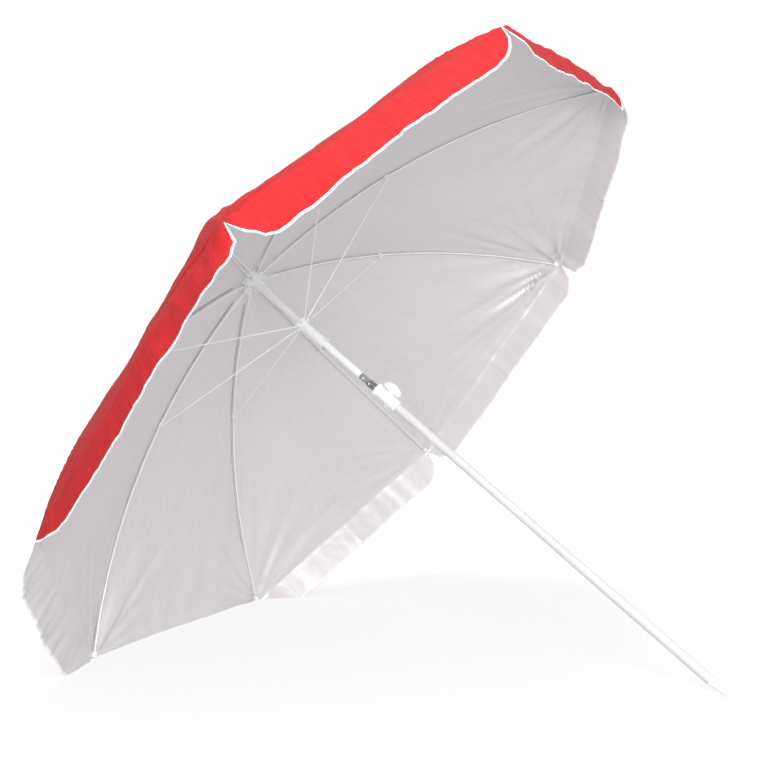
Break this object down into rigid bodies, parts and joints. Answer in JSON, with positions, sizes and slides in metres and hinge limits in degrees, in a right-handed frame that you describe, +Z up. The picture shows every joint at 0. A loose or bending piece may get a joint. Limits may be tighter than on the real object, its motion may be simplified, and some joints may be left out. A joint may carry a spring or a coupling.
{
  "type": "beach umbrella",
  "caption": "Tilting beach umbrella with a round canopy on bowed ribs, stretchers and a sliding runner, and a two-part pole with a wing-screw clamp.",
  "frame": {"origin": "blunt end of the ground spike, on the pole's axis", "axes": "+Z up the pole to the crown; +Y towards the clamp knob, and the way the canopy tilts; +X along the tilt pin"},
  "size_m": [1.7518, 1.7518, 1.4992],
  "materials": {
    "white_paint": "gloss powder coat",
    "white_plastic": "satin moulded",
    "zinc_steel": "zinc plated",
    "canopy_cloth": "woven, silver-coated underside"
  },
  "bodies": {
    "lower_pole_body": {"lower_pole": "white_paint", "ground_spike": "white_plastic", "clamp_collar": "white_plastic", "clamp_nut": "zinc_steel"},
    "clamp_knob_body": {"clamp_knob": "white_plastic", "clamp_screw": "zinc_steel"},
    "inner_pole_body": {"inner_pole": "white_paint", "tilt_fork": "zinc_steel", "tilt_pin": "zinc_steel"},
    "upper_pole_body": {"upper_pole": "white_paint", "tilt_tongue": "zinc_steel", "crown_hub": "white_plastic", "crown_ring": "zinc_steel", "crown_plate": "white_plastic", "top_cap": "white_plastic"},
    "tilt_button_body": {"tilt_button": "white_plastic"},
    "catch_body": {"runner_catch": "zinc_steel"},
    "runner_body": {"runner": "white_plastic", "runner_ring": "zinc_steel"},
    "rib_1_body": {"rib_1": "white_paint", "rib_tip_1": "white_plastic", "rib_clip_1": "white_plastic", "canopy_gore_1": "canopy_cloth"},
    "stretcher_1_body": {"stretcher_1": "white_paint"},
    "rib_2_body": {"rib_2": "white_paint", "rib_tip_2": "white_plastic", "rib_clip_2": "white_plastic", "canopy_gore_2": "canopy_cloth"},
    "stretcher_2_body": {"stretcher_2": "white_paint"},
    "rib_3_body": {"rib_3": "white_paint", "rib_tip_3": "white_plastic", "rib_clip_3": "white_plastic", "canopy_gore_3": "canopy_cloth"},
    "stretcher_3_body": {"stretcher_3": "white_paint"},
    "rib_4_body": {"rib_4": "white_paint", "rib_tip_4": "white_plastic", "rib_clip_4": "white_plastic", "canopy_gore_4": "canopy_cloth"},
    "stretcher_4_body": {"stretcher_4": "white_paint"},
    "rib_5_body": {"rib_5": "white_paint", "rib_tip_5": "white_plastic", "rib_clip_5": "white_plastic", "canopy_gore_5": "canopy_cloth"},
    "stretcher_5_body": {"stretcher_5": "white_paint"},
    "rib_6_body": {"rib_6": "white_paint", "rib_tip_6": "white_plastic", "rib_clip_6": "white_plastic", "canopy_gore_6": "canopy_cloth"},
    "stretcher_6_body": {"stretcher_6": "white_paint"},
    "rib_7_body": {"rib_7": "white_paint", "rib_tip_7": "white_plastic", "rib_clip_7": "white_plastic", "canopy_gore_7": "canopy_cloth"},
    "stretcher_7_body": {"stretcher_7": "white_paint"},
    "rib_8_body": {"rib_8": "white_paint", "rib_tip_8": "white_plastic", "rib_clip_8": "white_plastic", "canopy_gore_8": "canopy_cloth"},
    "stretcher_8_body": {"stretcher_8": "white_paint"}
  },
  "joints": [
    {"name": "runner_slide", "type": "slide", "parent": "upper_pole_body", "child": "runner_body", "axis": [0, 0, -1], "range_m": [0, 0.58683], "deforming": ["canopy_gore_1", "canopy_gore_2", "canopy_gore_3", "canopy_gore_4", "canopy_gore_5", "canopy_gore_6", "canopy_gore_7", "canopy_gore_8", "runner_catch"]},
    {"name": "pole_slide", "type": "slide", "parent": "lower_pole_body", "child": "inner_pole_body", "axis": [0, 0, 1], "range_m": [0, 0.42]},
    {"name": "tilt", "type": "hinge", "parent": "inner_pole_body", "child": "upper_pole_body", "pos_m": [0, 0, 1.064], "axis": [1, 0, 0], "range_deg": [-45, 0]},
    {"name": "clamp_turn", "type": "hinge", "parent": "lower_pole_body", "child": "clamp_knob_body", "pos_m": [0, 0, 1.008], "axis": [0, 1, 0], "range_deg": [0, 180]},
    {"name": "tilt_button_press", "type": "slide", "parent": "upper_pole_body", "child": "tilt_button_body", "axis": [-1, 0, 0], "range_m": [0, 0.002], "stiffness_N_per_m": 600},
    {"name": "catch_press", "type": "slide", "parent": "upper_pole_body", "child": "catch_body", "axis": [0, 1, 0], "range_m": [0, 0.0038], "stiffness_N_per_m": 800},
    {"name": "rib_1_hinge", "type": "hinge", "parent": "upper_pole_body", "child": "rib_1_body", "pos_m": [0.02772, 0.01148, 1.476], "axis": [-0.3827, 0.9239, 0], "range_deg": [0, 61]},
    {"name": "stretcher_1_hinge", "type": "hinge", "parent": "rib_1_body", "child": "stretcher_1_body", "pos_m": [0.38348, 0.15884, 1.39632], "axis": [-0.3827, 0.9239, 0], "range_deg": [-119.19, 0]},
    {"name": "rib_2_hinge", "type": "hinge", "parent": "upper_pole_body", "child": "rib_2_body", "pos_m": [0.01148, 0.02772, 1.476], "axis": [-0.9239, 0.3827, 0], "range_deg": [0, 61]},
    {"name": "stretcher_2_hinge", "type": "hinge", "parent": "rib_2_body", "child": "stretcher_2_body", "pos_m": [0.15884, 0.38348, 1.39632], "axis": [-0.9239, 0.3827, 0], "range_deg": [-119.19, 0]},
    {"name": "rib_3_hinge", "type": "hinge", "parent": "upper_pole_body", "child": "rib_3_body", "pos_m": [-0.01148, 0.02772, 1.476], "axis": [-0.9239, -0.3827, 0], "range_deg": [0, 61]},
    {"name": "stretcher_3_hinge", "type": "hinge", "parent": "rib_3_body", "child": "stretcher_3_body", "pos_m": [-0.15884, 0.38348, 1.39632], "axis": [-0.9239, -0.3827, 0], "range_deg": [-119.19, 0]},
    {"name": "rib_4_hinge", "type": "hinge", "parent": "upper_pole_body", "child": "rib_4_body", "pos_m": [-0.02772, 0.01148, 1.476], "axis": [-0.3827, -0.9239, 0], "range_deg": [0, 61]},
    {"name": "stretcher_4_hinge", "type": "hinge", "parent": "rib_4_body", "child": "stretcher_4_body", "pos_m": [-0.38348, 0.15884, 1.39632], "axis": [-0.3827, -0.9239, 0], "range_deg": [-119.19, 0]},
    {"name": "rib_5_hinge", "type": "hinge", "parent": "upper_pole_body", "child": "rib_5_body", "pos_m": [-0.02772, -0.01148, 1.476], "axis": [0.3827, -0.9239, 0], "range_deg": [0, 61]},
    {"name": "stretcher_5_hinge", "type": "hinge", "parent": "rib_5_body", "child": "stretcher_5_body", "pos_m": [-0.38348, -0.15884, 1.39632], "axis": [0.3827, -0.9239, 0], "range_deg": [-119.19, 0]},
    {"name": "rib_6_hinge", "type": "hinge", "parent": "upper_pole_body", "child": "rib_6_body", "pos_m": [-0.01148, -0.02772, 1.476], "axis": [0.9239, -0.3827, 0], "range_deg": [0, 61]},
    {"name": "stretcher_6_hinge", "type": "hinge", "parent": "rib_6_body", "child": "stretcher_6_body", "pos_m": [-0.15884, -0.38348, 1.39632], "axis": [0.9239, -0.3827, 0], "range_deg": [-119.19, 0]},
    {"name": "rib_7_hinge", "type": "hinge", "parent": "upper_pole_body", "child": "rib_7_body", "pos_m": [0.01148, -0.02772, 1.476], "axis": [0.9239, 0.3827, 0], "range_deg": [0, 61]},
    {"name": "stretcher_7_hinge", "type": "hinge", "parent": "rib_7_body", "child": "stretcher_7_body", "pos_m": [0.15884, -0.38348, 1.39632], "axis": [0.9239, 0.3827, 0], "range_deg": [-119.19, 0]},
    {"name": "rib_8_hinge", "type": "hinge", "parent": "upper_pole_body", "child": "rib_8_body", "pos_m": [0.02772, -0.01148, 1.476], "axis": [0.3827, 0.9239, 0], "range_deg": [0, 61]},
    {"name": "stretcher_8_hinge", "type": "hinge", "parent": "rib_8_body", "child": "stretcher_8_body", "pos_m": [0.38348, -0.15884, 1.39632], "axis": [0.3827, 0.9239, 0], "range_deg": [-119.19, 0]}
  ],
  "couplings": [
    {"joint": "pole_slide", "follows": "runner_slide", "ratio": 0.71571},
    {"joint": "rib_1_hinge", "follows": "runner_slide", "rad_per_m": 1.8142},
    {"joint": "stretcher_1_hinge", "follows": "runner_slide", "rad_per_m": -3.5449},
    {"joint": "rib_2_hinge", "follows": "runner_slide", "rad_per_m": 1.8142},
    {"joint": "stretcher_2_hinge", "follows": "runner_slide", "rad_per_m": -3.5449},
    {"joint": "rib_3_hinge", "follows": "runner_slide", "rad_per_m": 1.8142},
    {"joint": "stretcher_3_hinge", "follows": "runner_slide", "rad_per_m": -3.5449},
    {"joint": "rib_4_hinge", "follows": "runner_slide", "rad_per_m": 1.8142},
    {"joint": "stretcher_4_hinge", "follows": "runner_slide", "rad_per_m": -3.5449},
    {"joint": "rib_5_hinge", "follows": "runner_slide", "rad_per_m": 1.8142},
    {"joint": "stretcher_5_hinge", "follows": "runner_slide", "rad_per_m": -3.5449},
    {"joint": "rib_6_hinge", "follows": "runner_slide", "rad_per_m": 1.8142},
    {"joint": "stretcher_6_hinge", "follows": "runner_slide", "rad_per_m": -3.5449},
    {"joint": "rib_7_hinge", "follows": "runner_slide", "rad_per_m": 1.8142},
    {"joint": "stretcher_7_hinge", "follows": "runner_slide", "rad_per_m": -3.5449},
    {"joint": "rib_8_hinge", "follows": "runner_slide", "rad_per_m": 1.8142},
    {"joint": "stretcher_8_hinge", "follows": "runner_slide", "rad_per_m": -3.5449}
  ]
}
